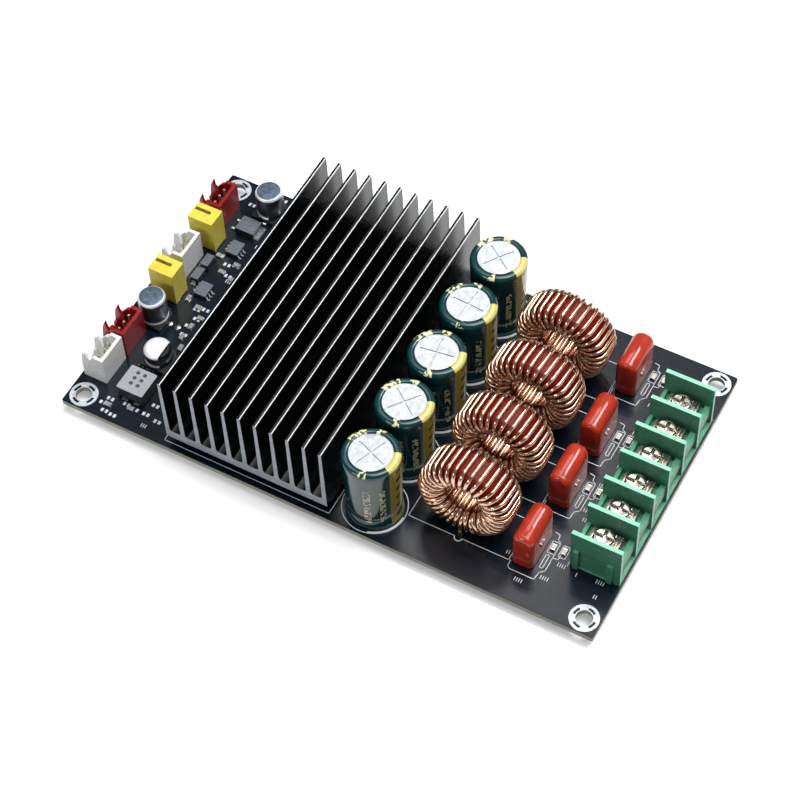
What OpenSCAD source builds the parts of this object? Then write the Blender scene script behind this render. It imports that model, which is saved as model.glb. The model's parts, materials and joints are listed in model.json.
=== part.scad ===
// Audio power amplifier board: heatsink, bulk capacitors, toroidal output inductors,
// film capacitors, a six-way barrier terminal strip and small plug headers.
// Millimetres. The origin is the centre of the four mounting holes, at the board's underside.
// Places on the board are measured from its front left corner, on its top face.

/* [Board] */
// Length of the board, left to right
board_l = 162; // [150:1:180]
// Depth of the board, front to back
board_w = 91.6; // [90:0.2:100]
// Thickness of the board
board_t = 1.6; // [1.2:0.2:2.4]
// Radius of the board's corners
board_r = 0.6; // [0.6:0.2:2]
// Distance of the mounting holes from the board's edges
hole_inset = 4.5; // [4:0.1:5]
// Diameter of the mounting holes
hole_d = 4.5; // [3.2:0.1:5]
// How far the trimmed leads stand out below the board
lead_tip = 2.4; // [2.2:0.1:3]

/* [Heatsink] */
// Left side of the heatsink, from the board's left edge
sink_x = 33.6; // [30:0.2:38]
// Distance of the heatsink's ends from the board's front and back edges
sink_y = 1.8; // [1:0.2:6]
// Gap between the heatsink and the bulk capacitors
sink_clear = 1.8; // [1:0.1:4]
// Thickness of the heatsink's base
sink_base = 3; // [2.6:0.2:4]
// Height of the whole heatsink
sink_h = 24; // [18:1:30]
// Number of fins
fin_n = 11; // [8:1:12]
// Thickness of a fin at its tip
fin_tip = 0.9; // [0.7:0.1:1.2]
// Thickness of a fin at its root
fin_root = 1.4; // [1.2:0.1:1.8]
// Gap between the board and the heatsink, held by the spacers
sink_gap = 3.2; // [2.8:0.1:4]
// Distance of the heatsink's screws from its sides and ends
sink_screw_inset = 6; // [5:0.5:8]

/* [Bulk capacitors] */
// Diameter over the sleeve
cap_d = 16; // [12.5:0.5:16.5]
// Height above the board
cap_h = 25.2; // [20:0.2:32]
// Gap between one capacitor and the next
cap_gap = 1.95; // [0.6:0.05:2.4]
// Gap between the row of capacitors and the inductors
cap_clear = 2.65; // [1:0.05:5]
// Number of bulk capacitors
cap_n = 5; // [5:1:5]

/* [Output inductors] */
// Outside diameter of the bare toroid core
core_d = 24.5; // [23:0.1:25.3]
// Hole of the bare toroid core
core_hole = 14.7; // [13.7:0.1:15]
// Length of the core along its axis
core_h = 9.4; // [8:0.2:10]
// Diameter of the winding wire
wire_d = 1.2; // [0.8:0.05:1.25]
// Number of turns on each core
turns = 36; // [24:1:36]
// Distance from one inductor to the next
coil_step = 18.8; // [16:0.1:20]
// Gap between the inductors and the red film capacitors
coil_clear = 1.85; // [1:0.05:4]

/* [Film capacitors] */
// Length of the red film capacitors
film_l = 13.4; // [11:0.2:14]
// Thickness of the red film capacitors
film_t = 6.2; // [4:0.2:6.6]
// Height of the red film capacitors above the board
film_h = 13; // [10:0.5:15]
// Gap between the red film capacitors and the terminal strip
film_clear = 7.8; // [7:0.1:12]
// Length of the yellow box capacitors
box_l = 8; // [7:0.2:8.4]
// Thickness of the yellow box capacitors
box_t = 6; // [4:0.2:6.4]
// Height of the yellow box capacitors above the board
box_h = 12; // [9:0.5:14]

/* [Terminal strip] */
// Number of screw terminals
ways = 6; // [6:1:6]
// Distance from one terminal to the next
way_pitch = 9.5; // [9.2:0.1:10]
// Thickness of a barrier plate
barrier_t = 1.2; // [1:0.1:1.5]
// Depth of the strip, over its barrier plates
strip_w = 14.3; // [14:0.1:15]
// Height of the barrier plates
barrier_h = 15.5; // [15:0.5:18]
// Height of the low walls between the plates
wall_h = 8; // [7.5:0.1:8.1]
// Distance of the strip from the board's right edge
strip_inset = 0.5; // [0.3:0.1:0.8]
// Thread diameter of the clamp screws
screw_d = 3; // [2.5:0.1:3.2]
// Diameter of the clamp screws' heads
screw_head_d = 6; // [5:0.1:6.4]

/* [Plug headers] */
// Length of a header, front to back
hdr_l = 9.9; // [9.4:0.1:10]
// Width of a header, from its outer face to its inner face
hdr_w = 7.4; // [6.8:0.2:7.6]
// Height of a header's inner wall
hdr_h = 10; // [8:0.5:11]
// Distance from one pin to the next
pin_pitch = 2.5; // [2.4:0.05:2.6]

/* [Hidden] */
$fn = 48;

// Fits and small clearances
eps = 0.01;
tip_z = -board_t - lead_tip;
running = 0.1;
apart = 0.3;
sleeve_fit = 0.05;
wire_gap = 0.2;
square_diagonal = sqrt(2);

// Rows from the right edge to the left: terminals, film capacitors, inductors, bulk capacitors,
// and the heatsink, which takes the width that is left
strip_x = board_l - strip_inset - strip_w;
film_x = strip_x - film_clear - film_t / 2;
coil_r = core_d / 2 + wire_gap + wire_d;
coil_x = film_x - film_t / 2 - coil_clear - coil_r;
cap_x = coil_x - coil_r - cap_clear - cap_d / 2;
sink_w = cap_x - cap_d / 2 - sink_clear - sink_x;
sink_l = board_w - 2 * sink_y;
cap_step = cap_d + cap_gap;

// Bulk capacitor: can, sleeve, bung and leads
sleeve_t = 0.25;
can_r = cap_d / 2 - sleeve_t;
can_round = 1;
can_foot = 0.4;
bead_z = 3.6;
bead_r = 0.8;
lip_r = can_r * 0.76;
bung_r = can_r - 1.4;
bung_z = 2.4;
cap_lead_d = 0.8;
cap_pitch = 7.5;
vent_w = 0.5;
vent_depth = 0.3;
vent_turn = [68, 52, 8, 86, 54];

// Winding: centre line of the wire around the core's section
core_edge = (core_d - core_hole) * 0.235;
coil_sides = 5;
path_out = coil_r - wire_d / 2;
path_in = core_hole / 2 - wire_gap - wire_d / 2;
path_half = core_h / 2 + wire_gap + wire_d / 2;
path_cut = core_edge * 0.8;
nest = wire_d * 0.7;
coil_lift = 0.3;
coil_z = coil_r + coil_lift;
turn_angle = 360 / turns;

// Film and box capacitors
film_shift = [-0.2, 1.8, 1.5, 5.1];
film_y = [for (i = [0:3]) coil_y(i) + film_shift[i]];
film_pitch = 7.5;
film_lead_d = 0.7;
film_round = film_t * 0.45;
film_lift = 0.4;
box_x = 6.8;
box_y = [45.9, 67.1];
box_pitch = 5;
lead_dip = 1;

// Terminal strip, from its inner side
strip_l = ways * way_pitch + barrier_t;
strip_y = (board_w - strip_l) / 2 + 0.3;
low_in = 0.3;
low_out = strip_w - 0.6;
trough_in = 1.4;
trough_out = strip_w - 2.1;
trough_z = wall_h - 1.8;
recess_top = wall_h / 2;
recess_depth = 1.2;
rail_h = 0.7;
rib_in = 1;
rib_out = strip_w - 3.7;
rib_w = 1.5;
rib_depth = 0.8;
rib_z = 0.4;
panel_depth = 0.3;
screw_x = 6.8;
contact_t = 0.8;
contact_z = wall_h - 0.1;
clamp_t = 0.8;
clamp_w = 6.4;
clamp_in = 3.5;
clamp_out = 4.4;
clamp_rib = 0.5;
clamp_ribs = [-3.25, 2.4, 3.3, 4.15];
slot_gap = 1;
clamp_z = contact_z + apart;
head_z = clamp_z + clamp_t + 0.05;
head_h = 2.25;
shank_l = 6.6;
shank_well = 0.4;
terminal_pin = 1.1;
pin_in = 4.6;
pin_side = 2.2;

// Plug headers: front faces and horn heights
hdr_x = 0.9;
hdr_pair_gap = 0.7;
hdr_mid = [25.95 - hdr_l - hdr_pair_gap, 25.95, 56.75, 77.15];
hdr_horn = [0.5, 2.3, 0.5, 2.3];
hdr_tint = ["#e8e8e2", "#a01218", "#e8e8e2", "#a01218"];
pin_shift = 0.6;
hdr_wall = 1;
hdr_floor = 2.5;
hdr_low = 5.2;
hdr_slot = 0.8;
hdr_rib = 0.64;
hdr_pin = 0.64;

// Surface-mount parts: place, diameter and height, or place and turn
smd_caps = [[8.0, 36.1, 8, 10.2], [17.8, 84.0, 8, 10.2], [17.0, 24.0, 8, 6.2]];
smd_shoulder = 1.2;
smd_base_t = 1.1;
smd_foot = 0.15;
coil_box = [8.4, 8.4, 4.6];
coil_box_at = [17.4, 12.5];
so8_at = [[15.4, 50.2], [15.7, 67.2]];
so8_body = [3.9, 4.9, 1.45];
diode_at = [[11.2, 53.9], [11.2, 59.3]];
diode_body = [2.6, 4.3, 2.1];
regulator_at = [15.2, 75.6];
regulator_body = [6.1, 5.2, 2.2];
chip_size = [2.0, 1.25, 0.6];
chip_cap = 0.4;
chips_flat = [[18.7, 6.2], [18.9, 62.6], [17.0, 44.6], [19.6, 41.5], [12.3, 4.6], [16.3, 58.6],
    [20.4, 57.4], [12.6, 63.4]];
chips_turned = [[18.3, 33.6], [20.0, 30.2], [18.7, 37.8], [12.8, 46.2]];
snubber_x = [1.9, 5.0];
snubber_shift = 2.2;
snubbers = [for (y = film_y, x = snubber_x) [film_x + film_t / 2 + x, y + snubber_shift]];

// Amplifier chip under the middle of the heatsink, with a pad between them
amp_at = [sink_x + sink_w / 2, board_w / 2];
amp_foot = 0.1;
pad_t = 0.25;
amp_body = [11, 15.9, sink_gap - amp_foot - pad_t];
amp_leads = 18;
amp_lead_pitch = 0.65;
amp_lead_w = 0.3;

// Heatsink: rounded fin roots, and screws
root_r = 0.9;
sink_screw_d = 3;
sink_head_d = 5.6;
sink_head_h = 1.8;
sink_bite = 2.6;
spacer_d = 6;

// Every lead that passes through the board: place and hole diameter
cap_spots = [for (i = [0:cap_n - 1], s = [-1, 1]) [cap_x + s * cap_pitch / 2, cap_y(i)]];
film_spots = [for (y = film_y, s = [-1, 1]) [film_x, y + s * film_pitch / 2]];
box_spots = [for (y = box_y, s = [-1, 1]) [box_x + s * box_pitch / 2, y]];
coil_end = turn_angle * (turns - 1 + 5 / 8) - 90;
coil_front = [coil_x, -path_half];
coil_back = [coil_x + path_out * cos(coil_end), path_half];
coil_spots = [for (i = [0:3], p = [coil_front, coil_back]) p + [0, coil_y(i)]];
way_spots = [for (i = [0:ways - 1], s = [-1, 1])
    [strip_x + pin_in, way_y(i) + s * pin_side]];
pin_spots = [for (y = hdr_mid, k = [-1:1]) [hdr_x + hdr_w / 2 + pin_shift, y + k * pin_pitch]];
sink_spots = [for (sx = [sink_screw_inset, sink_w - sink_screw_inset],
    sy = [sink_screw_inset, sink_l - sink_screw_inset]) [sink_x + sx, sink_y + sy]];

// Each row of parts is centred on the board's width
function cap_y(i) = board_w / 2 + (i - (cap_n - 1) / 2) * cap_step - 0.1;
function coil_y(i) = board_w / 2 + (i - 1.5) * coil_step + 0.1;
function way_y(i) = strip_y + barrier_t / 2 + (i + 0.5) * way_pitch;
function arc(x, y, r, a, b, n) = [for (k = [0:n]) [x + r * cos(a + (b - a) * k / n),
    y + r * sin(a + (b - a) * k / n)]];

// Puts a shape on the board's top face, at a place measured from the front left corner
module at(p) {
    translate([p[0] - board_l / 2, p[1] - board_w / 2, board_t]) children();
}

module at_each(list) {
    for (p = list) at(p) children();
}

// A rectangle with round corners, from its lower left corner
module plate_2d(l, w, r) {
    translate([r, 0]) square([l - 2 * r, w]);
    translate([0, r]) square([l, w - 2 * r]);
    for (x = [r, l - r], y = [r, w - r]) translate([x, y]) circle(r);
}

module plate(l, w, t, r) {
    linear_extrude(t) plate_2d(l, w, r);
}

module hole_through(d) {
    translate([0, 0, -board_t - 1]) cylinder(d = d, h = board_t + 2);
}

module block(size, z) {
    translate([-size[0] / 2, -size[1] / 2, z]) cube(size);
}

module pcb() {
    color("#15191f") difference() {
        at([0, 0]) translate([0, 0, -board_t]) plate(board_l, board_w, board_t, board_r);
        for (x = [hole_inset, board_l - hole_inset], y = [hole_inset, board_w - hole_inset])
            at([x, y]) hole_through(hole_d);
        at_each(cap_spots) hole_through(cap_lead_d + 0.2);
        at_each(film_spots) hole_through(film_lead_d + 0.2);
        at_each(box_spots) hole_through(film_lead_d + 0.2);
        at_each(coil_spots) hole_through(wire_d + 0.3);
        at_each(way_spots) hole_through(terminal_pin * square_diagonal + 0.1);
        at_each(pin_spots) hole_through(hdr_pin * square_diagonal + 0.1);
        at_each(sink_spots) hole_through(sink_screw_d + 0.2);
    }
}

// One fin: tapered, with a rounded root on each side
module fin() {
    half = fin_root / 2;
    polygon(concat([[half + root_r, sink_base - eps]],
        arc(half + root_r, sink_base + root_r, root_r, 270, 180, 5),
        [[fin_tip / 2, sink_h], [-fin_tip / 2, sink_h]],
        arc(-half - root_r, sink_base + root_r, root_r, 0, -90, 5),
        [[-half - root_r, sink_base - eps]]));
}

// Extruded fins on a flat base, tapped from below at four places
module heatsink() {
    fin_pitch = (sink_w - fin_root) / (fin_n - 1);
    color("#1a1b1d") difference() {
        at([sink_x, sink_y]) translate([0, sink_l, sink_gap]) rotate([90, 0, 0])
            linear_extrude(sink_l) intersection() {
                square([sink_w, sink_h]);
                union() {
                    square([sink_w, sink_base]);
                    for (i = [0:fin_n - 1]) translate([fin_root / 2 + i * fin_pitch, 0]) fin();
                }
            }
        at_each(sink_spots) translate([0, 0, sink_gap - 1]) cylinder(d = sink_screw_d, h = sink_bite + 1);
    }
}

module heatsink_spacers() {
    color("#c9c9c4") at_each(sink_spots) difference() {
        cylinder(d = spacer_d, h = sink_gap);
        translate([0, 0, -1]) cylinder(d = sink_screw_d + 0.2, h = sink_gap + 2);
    }
}

// Pan head screws driven from under the board into the heatsink
module heatsink_screws() {
    color("#b9bcc0") at_each(sink_spots) difference() {
        union() {
            translate([0, 0, -board_t]) cylinder(d = sink_screw_d, h = board_t + sink_gap + sink_bite - 0.2);
            translate([0, 0, -board_t - sink_head_h]) cylinder(d = sink_head_d, h = sink_head_h);
        }
        for (a = [0, 90]) rotate(a) block([3, 0.8, 1.1], -board_t - sink_head_h - 0.1);
    }
}

module thermal_pad() {
    color("#8f969c") at(amp_at) block([amp_body[0] - 1, amp_body[1] - 1, pad_t], sink_gap - pad_t);
}

module amplifier_chip() {
    color("#202124") at(amp_at) block(amp_body, amp_foot);
}

// Gull wing leads on both long sides of the amplifier chip
module amplifier_chip_leads() {
    color("#c7c9cb") for (s = [0, 180], i = [0:amp_leads - 1])
        at(amp_at) rotate(s) translate([amp_body[0] / 2, (i - (amp_leads - 1) / 2) * amp_lead_pitch, 0])
            gull_lead(1.6, 1.5, 0.22, amp_lead_w);
}

// A bent strip lead: out of the body at height z, down, and along the board
module gull_lead(reach, z, t, w) {
    rotate([90, 0, 0]) translate([0, 0, -w / 2]) linear_extrude(w)
        polygon([[0, z - t], [reach * 0.35 - t, z - t], [reach * 0.35 - t, 0], [reach, 0], [reach, t],
            [reach * 0.35, t], [reach * 0.35, z], [0, z]]);
}

// Outline of the can's side and top, pushed out by o, from its foot upward
function can_side(foot, o) = concat([[can_r + o, foot]],
    [for (p = arc(can_r + bead_r * 0.35, bead_z, bead_r, 210, 150, 6)) [min(p[0], can_r) + o, p[1]]],
    arc(can_r - can_round, cap_h - sleeve_t - can_round, can_round + o, 0, 90, 6));

// The can stands a hair inside its sleeve, and carries it on its flat top
module bulk_cap_can(i) {
    color("#dfe2e4") at([cap_x, cap_y(i)]) difference() {
        rotate_extrude() polygon(concat([[0, can_foot]], can_side(can_foot, -sleeve_fit),
            [[lip_r + 0.6, cap_h - sleeve_t - sleeve_fit], [lip_r + 0.5, cap_h - sleeve_t],
            [0, cap_h - sleeve_t]]));
        translate([0, 0, can_foot - 1]) cylinder(r = bung_r, h = bung_z - can_foot + 1);
        for (a = [0, 90]) rotate(vent_turn[i] + a)
            block([lip_r * 1.6, vent_w, 1], cap_h - sleeve_t - vent_depth);
    }
}

module bulk_cap_sleeve(i) {
    inner = can_side(0, 0);
    outer = can_side(0, sleeve_t);
    color("#123f45") at([cap_x, cap_y(i)]) rotate_extrude()
        polygon(concat(outer, [[lip_r, cap_h], [lip_r, cap_h - sleeve_t]],
            [for (k = [len(inner) - 1:-1:0]) inner[k]]));
}

module bulk_cap_bungs() {
    color("#26282a") for (i = [0:cap_n - 1]) at([cap_x, cap_y(i)]) difference() {
        translate([0, 0, can_foot + 0.2]) cylinder(r = bung_r, h = bung_z - can_foot - 0.2);
        for (s = [-1, 1]) translate([s * cap_pitch / 2, 0, 0]) cylinder(d = cap_lead_d, h = bung_z + 1);
    }
}

module bulk_cap_leads() {
    color("#c9cbcc") at_each(cap_spots) translate([0, 0, tip_z])
        cylinder(d = cap_lead_d, h = bung_z - tip_z);
}

// Powdered iron ring standing on its rim, its axis front to back
module inductor_core(i) {
    color("#5e1411") at([coil_x, coil_y(i)]) translate([0, core_h / 2, coil_z]) rotate([90, 0, 0])
        rotate_extrude() translate([core_hole / 2, 0])
            plate_2d((core_d - core_hole) / 2, core_h, core_edge);
}

// Stations of one turn, as [distance from the core's axis, place along the axis]
turn_path = [[path_out - path_cut, -path_half], [path_in + path_cut, -path_half],
    [path_in, -path_half + path_cut], [path_in, path_half - path_cut],
    [path_in + path_cut, path_half], [path_out - path_cut, path_half],
    [path_out, path_half - path_cut], [path_out, -path_half + path_cut]];
first_station = 1;
last_station = (turns - 1) * 8 + 4;
function coil_angle(n) = -90 + turn_angle * n / 8;
// Every second turn lies on its neighbours where the turns crowd together in the hole
function nested(n) = floor(n / 8) % 2 == 1 && n % 8 >= 1 && n % 8 <= 4 ? nest : 0;
function coil_point(n) = let (p = turn_path[n % 8], a = coil_angle(n), r = p[0] - nested(n))
    [r * cos(a), p[1], r * sin(a)];
function spread(a) = [-sin(a), 0, cos(a)];
lead_low = tip_z + 0.3 - coil_z;
coil_line = concat(
    [[0, -path_half, lead_low], [0, -path_half, -path_out]],
    [for (n = [first_station:last_station]) coil_point(n)],
    [[path_out * cos(coil_end), path_half, -path_out], [path_out * cos(coil_end), path_half, lead_low]]);
coil_spread = concat([spread(-90), spread(-90)],
    [for (n = [first_station:last_station]) spread(coil_angle(n))], [spread(-90), spread(-90)]);
function unit(v) = v / norm(v);
function step(k) = unit(coil_line[k + 1] - coil_line[k]);
function heading(k) = unit(step(min(k, len(coil_line) - 2)) + step(max(k - 1, 0)));

// One wire, wound round the core and led down through the board at both ends
module inductor_winding(i) {
    stations = len(coil_line);
    miter = 1 / cos(22.5);
    points = [for (k = [0:stations - 1])
        let (t = heading(k), u = unit(coil_spread[k] - t * (coil_spread[k] * t)), v = cross(t, u),
            m = k < 2 || k > stations - 3 ? 1 : miter)
        for (j = [0:coil_sides - 1])
            let (a = 360 * (j + 0.5) / coil_sides)
            coil_line[k] + (u * cos(a) + v * sin(a) * m) * wire_d / 2];
    sides = [for (k = [0:stations - 2], j = [0:coil_sides - 1])
        let (b = k * coil_sides, c = b + coil_sides, q = (j + 1) % coil_sides)
        each [[b + j, c + j, c + q], [b + j, c + q, b + q]]];
    ends = [[for (j = [0:coil_sides - 1]) j],
        [for (j = [coil_sides - 1:-1:0]) (stations - 1) * coil_sides + j]];
    color("#c98a5a") at([coil_x, coil_y(i)]) translate([0, 0, coil_z])
        polyhedron(points, concat(sides, ends));
}

// Dipped body with rounded edges on all sides, drilled for its two leads
module film_cap(i) {
    size = [film_t, film_l, film_h - film_lift];
    color("#b3281d") at([film_x, film_y[i]]) translate([0, 0, film_lift]) difference() {
        intersection() {
            translate([-size[0] / 2, size[1] / 2, 0]) rotate([90, 0, 0])
                linear_extrude(size[1]) plate_2d(size[0], size[2], film_round);
            translate([-size[0] / 2, -size[1] / 2, 0]) rotate([90, 0, 90])
                linear_extrude(size[0]) plate_2d(size[1], size[2], film_round);
            translate([-size[0] / 2, -size[1] / 2, 0]) linear_extrude(size[2])
                plate_2d(size[0], size[1], film_round);
        }
        for (s = [-1, 1]) translate([0, s * film_pitch / 2, -1]) cylinder(d = film_lead_d, h = lead_dip + 1);
    }
}

module film_cap_leads() {
    color("#c9cbcc") {
        at_each(film_spots) translate([0, 0, tip_z])
            cylinder(d = film_lead_d, h = film_lift + lead_dip - tip_z);
        at_each(box_spots) translate([0, 0, tip_z])
            cylinder(d = film_lead_d, h = lead_dip - tip_z);
    }
}

// Moulded box with small feet at its corners
module box_cap(i) {
    color("#e0c63a") at([box_x, box_y[i]]) difference() {
        block([box_l, box_t, box_h], 0);
        block([box_l + 1, box_t - 1.6, 1.3], -1);
        block([box_l - 1.6, box_t + 1, 1.3], -1);
        for (s = [-1, 1]) translate([s * box_pitch / 2, 0, -1]) cylinder(d = film_lead_d, h = lead_dip + 1);
    }
}

// Low walls with a trough between them, and a barrier plate on each side of every terminal.
// The outer wall stands back above a bottom rail; the front plate has two ribs and a sunk panel.
module terminal_housing() {
    bay_w = way_pitch - barrier_t;
    color("#2f8f68") at([strip_x, strip_y]) difference() {
        union() {
            for (i = [0:ways]) translate([0, i * way_pitch, 0]) cube([strip_w, barrier_t, barrier_h]);
            translate([low_in, barrier_t / 2, 0]) cube([low_out - low_in, strip_l - barrier_t, wall_h]);
            translate([low_out - 1, barrier_t / 2, 0])
                cube([strip_w - low_out + 1, strip_l - barrier_t, rail_h]);
            for (x = [rib_in, rib_out]) translate([x, -rib_depth, rib_z])
                cube([rib_w, rib_depth + 0.5, wall_h]);
        }
        translate([rib_in + rib_w, -1, rib_z]) cube([rib_out - rib_in - rib_w, 1 + panel_depth, wall_h]);
        for (i = [0:ways - 1]) translate([0, way_y(i) - strip_y, 0]) {
            translate([trough_in, -bay_w / 2, trough_z]) cube([trough_out - trough_in, bay_w, wall_h]);
            translate([low_out - recess_depth, -bay_w / 2, rail_h])
                cube([recess_depth + 1, bay_w, recess_top - rail_h]);
            translate([screw_x, 0, shank_well]) cylinder(d = screw_d + 1.2, h = wall_h);
            for (s = [-1, 1]) translate([pin_in, s * pin_side, 0])
                block([terminal_pin + 0.1, terminal_pin + 0.1, wall_h + 2], -1);
        }
    }
}

// Folded contact strips: a tapped plate on two ribs, and two pins through the board
module terminal_contacts() {
    plate_w = way_pitch - barrier_t - 1;
    contact_in = trough_in + slot_gap;
    contact_out = trough_out - slot_gap;
    color("#c8b676") for (i = [0:ways - 1]) at([strip_x, way_y(i)]) difference() {
        union() {
            translate([contact_in, -plate_w / 2, contact_z - contact_t])
                cube([contact_out - contact_in, plate_w, contact_t]);
            for (x = [contact_in, contact_out - contact_t]) translate([x, -plate_w / 2, trough_z])
                cube([contact_t, plate_w, contact_z - trough_z]);
            for (s = [-1, 1]) translate([pin_in, s * pin_side, 0])
                block([terminal_pin, terminal_pin, contact_z - contact_t - tip_z + 0.2], tip_z);
        }
        translate([screw_x, 0, 0]) cylinder(d = screw_d + 2 * running, h = contact_z + 1);
    }
}

// Clamp plate, ribbed on top, that rides up and down with its screw
module terminal_clamp(i) {
    color("#d5d6d4") at([strip_x + screw_x, way_y(i)]) difference() {
        union() {
            translate([(clamp_out - clamp_in) / 2, 0, 0])
                block([clamp_in + clamp_out, clamp_w, clamp_t], clamp_z);
            for (x = clamp_ribs) translate([x, 0, 0])
                block([clamp_rib, clamp_w, clamp_t + clamp_rib], clamp_z);
        }
        cylinder(d = screw_d + 2 * running, h = head_z + 1);
        translate([0, 0, clamp_z + clamp_t]) cylinder(d = screw_head_d + 0.3, h = 2);
    }
}

// Cross and slot head on a round shank
module terminal_screw(i) {
    crown = 0.5;
    color("#d8d6cf") at([strip_x + screw_x, way_y(i)]) difference() {
        rotate_extrude() polygon([[0, head_z - shank_l], [screw_d / 2 - 0.3, head_z - shank_l],
            [screw_d / 2, head_z - shank_l + 0.4], [screw_d / 2, head_z], [screw_head_d / 2, head_z],
            [screw_head_d / 2, head_z + head_h - crown], [screw_head_d / 2 - crown, head_z + head_h],
            [0, head_z + head_h]]);
        block([screw_head_d + 1, 0.9, 2], head_z + head_h - 1.1);
        block([0.9, screw_head_d - 2, 2], head_z + head_h - 1.4);
    }
}

// Open topped plug header: a low wall at the board's edge, and two claws that hold the plug.
// One claw ends the front wall, and the other stands on a rib between the last two pins.
module header(k) {
    tip = hdr_h + hdr_horn[k];
    notch = hdr_h - 1.4;
    claw = [[0, hdr_low], [0.3, hdr_h - 2.2], [0.6, hdr_h - 0.2], [1.6, tip], [1.9, hdr_h], [2.7, notch]];
    end_wall = [[hdr_w / 2 - 0.4, notch], [hdr_w / 2 + 0.3, hdr_h], [hdr_w, hdr_h], [hdr_w, 0], [0, 0]];
    color(hdr_tint[k]) at([hdr_x, hdr_mid[k] - hdr_l / 2]) difference() {
        union() {
            header_wall(concat(claw, end_wall), 0);
            header_wall(concat([[0, hdr_low], [2.7, notch]], end_wall), hdr_l - hdr_wall);
            header_wall(concat(claw, [[2.7, 0], [0, 0]]), hdr_l * hdr_rib);
            translate([hdr_w - hdr_wall, 0, 0]) cube([hdr_wall, hdr_l, hdr_h]);
            cube([hdr_w, hdr_l, hdr_floor]);
            cube([hdr_wall, hdr_l, hdr_low]);
        }
        translate([-1, (hdr_l - hdr_slot) / 2, hdr_floor]) cube([hdr_wall + 2, hdr_slot, hdr_h]);
        for (j = [-1:1]) translate([hdr_w / 2 + pin_shift, hdr_l / 2 + j * pin_pitch, 0])
            block([hdr_pin, hdr_pin, hdr_floor + 2], -1);
    }
}

// A wall across the header, with its outline seen from the board's front
module header_wall(outline, y) {
    translate([0, y + hdr_wall, 0]) rotate([90, 0, 0]) linear_extrude(hdr_wall) polygon(outline);
}

module header_pins() {
    color("#d0c48a") at_each(pin_spots) block([hdr_pin, hdr_pin, hdr_h - 1.5 - tip_z], tip_z);
}

// Aluminium cans with a bead at the foot, on moulded bases
module smd_capacitor_cans() {
    color("#c3c8cc") for (c = smd_caps) at(c) translate([0, 0, smd_foot + smd_base_t]) rotate_extrude() {
        r = c[2] / 2;
        top = c[3] - smd_foot - smd_base_t;
        polygon(concat([[0, 0], [r, 0], [r, 0.5], [r - 0.4, 0.9], [r - 0.4, 1.3], [r, 1.7]],
            arc(r - smd_shoulder, top - smd_shoulder, smd_shoulder, 0, 90, 6), [[0, top]]));
    }
}

module smd_capacitor_bases() {
    color("#1c1d1f") for (c = smd_caps) at(c) translate([0, 0, smd_foot]) linear_extrude(smd_base_t) {
        b = c[2] / 2 + 0.15;
        polygon([[-b, -b], [b, -b], [b, b - 1.6], [b - 1.6, b], [-b + 1.6, b], [-b, b - 1.6]]);
    }
}

module power_inductor() {
    s = coil_box;
    color("#8d8f91") at(coil_box_at) translate([0, 0, 0.2]) difference() {
        translate([-s[0] / 2, -s[1] / 2, 0]) plate(s[0], s[1], s[2] - 0.2, 0.5);
        for (a = [-1, 1]) translate([0, a * s[1] / 2, 0]) block([s[0] - 2, 0.6, 1.2], -0.1);
    }
}

module small_chips() {
    color("#1f2022") {
        for (p = so8_at) at(p) block(so8_body, 0.1);
        for (p = diode_at) at(p) block(diode_body, 0.1);
        at(regulator_at) block(regulator_body, 0.1);
    }
}

module chip_resistors() {
    color("#2b2a2c") {
        at_each(chips_flat) chip_middle();
        at_each(chips_turned) rotate(90) chip_middle();
        at_each(snubbers) rotate(90) chip_middle();
    }
}

module chip_middle() {
    block([chip_size[0] - 2 * chip_cap, chip_size[1], chip_size[2]], 0);
}

module chip_ends() {
    for (s = [-1, 1]) translate([s * (chip_size[0] - chip_cap) / 2, 0, 0])
        block([chip_cap, chip_size[1], chip_size[2]], 0);
}

// Tinned ends, gull wings and soldering strips of the surface-mount parts
module smd_terminals() {
    color("#c9cccf") {
        at_each(chips_flat) chip_ends();
        at_each(chips_turned) rotate(90) chip_ends();
        at_each(snubbers) rotate(90) chip_ends();
        for (c = smd_caps, s = [0, 180]) at(c) rotate(s)
            translate([1, -0.4, 0]) cube([c[2] / 2 - 0.4, 0.8, smd_foot]);
        for (p = so8_at, s = [0, 180], k = [-1.5:1]) at(p) rotate(s)
            translate([so8_body[0] / 2, k * 1.27, 0]) gull_lead(1.1, 0.9, 0.2, 0.42);
        for (p = diode_at, s = [90, 270]) at(p) rotate(s) translate([diode_body[1] / 2, 0, 0])
            gull_lead(0.9, 1.1, 0.25, 1.4);
        at(regulator_at) {
            for (y = [-1.6, 1.6]) translate([-regulator_body[0] / 2, y, 0])
                rotate(180) gull_lead(1.8, 1, 0.5, 0.7);
            translate([regulator_body[0] / 2, -regulator_body[1] / 2 + 0.2, 0])
                cube([1.2, regulator_body[1] - 0.4, 0.5]);
        }
        for (a = [-1, 1], b = [-1, 1]) at(coil_box_at)
            translate([b * 1.9, a * (coil_box[1] / 2 - 0.1), 0]) block([1.8, 0.8, 0.2], 0);
    }
}

// Fillets of solder round each lead, under the board
module solder_cone(lead_d, land) {
    fillet_h = 1.1;
    translate([0, 0, -board_t - fillet_h]) difference() {
        cylinder(d1 = lead_d + 0.3, d2 = land, h = fillet_h);
        translate([0, 0, -1]) cylinder(d = lead_d, h = 3);
    }
}

module solder_joints() {
    color("#b4b9bd") {
        at_each(cap_spots) solder_cone(cap_lead_d, 2.4);
        at_each(film_spots) solder_cone(film_lead_d, 2);
        at_each(box_spots) solder_cone(film_lead_d, 2);
        at_each(coil_spots) solder_cone(wire_d, 2.6);
        at_each(way_spots) solder_cone(terminal_pin * square_diagonal, 2.8);
        at_each(pin_spots) solder_cone(hdr_pin * square_diagonal, 1.7);
    }
}

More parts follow.
